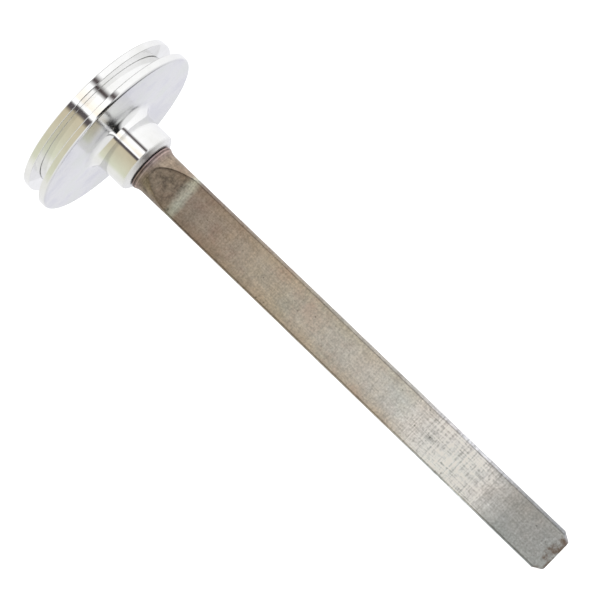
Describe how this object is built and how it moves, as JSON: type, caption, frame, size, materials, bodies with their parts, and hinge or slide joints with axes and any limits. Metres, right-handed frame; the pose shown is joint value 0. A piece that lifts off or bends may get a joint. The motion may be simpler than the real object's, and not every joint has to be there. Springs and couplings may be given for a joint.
{
  "type": "dial thermometer",
  "caption": "Metal dial thermometer with a spool-shaped head, a turned hub on its back and a long round stem milled to two flats, read by a pointer on a coil-driven shaft.",
  "frame": {"origin": "on the axis, half way along the straight length of the hub behind the head", "axes": "+Z along the axis from the stem to the dial; +Y towards the top of the dial, normal to the stem's flats; +X across the stem's flats"},
  "size_m": [0.052, 0.052, 0.1612],
  "materials": {
    "turned_case": "fine turned, bright",
    "stem_steel": "brushed, heat and chemical stains",
    "screw_steel": "bright",
    "coil_steel": "rolled strip",
    "brass": "turned",
    "glass": "polished flat",
    "black_rubber": "matte",
    "dial_paint": "satin white enamel",
    "pointer_paint": "matte black"
  },
  "bodies": {
    "case": {"case_body": "turned_case", "bezel_ring": "turned_case", "crystal": "glass", "crystal_gasket": "black_rubber", "dial_plate": "dial_paint", "dial_posts": "brass", "dial_screws": "screw_steel", "stem_tube": "stem_steel", "stem_tip_plug": "stem_steel", "neck_seal": "black_rubber", "lock_washer": "screw_steel", "stem_nut": "brass", "upper_bush": "brass", "middle_bush": "brass", "lower_bush": "brass", "bimetal_coil": "coil_steel", "coil_anchor": "brass"},
    "pointer_train": {"pointer_shaft": "screw_steel", "pointer_boss": "brass", "pointer": "pointer_paint", "coil_collar": "brass"}
  },
  "joints": [
    {"name": "pointer_turn", "type": "hinge", "parent": "case", "child": "pointer_train", "pos_m": [0, 0, 0], "axis": [0, 0, 1], "range_deg": [-156, 144], "stiffness_Nm_per_rad": 0.0039, "deforming": ["bimetal_coil"]}
  ]
}
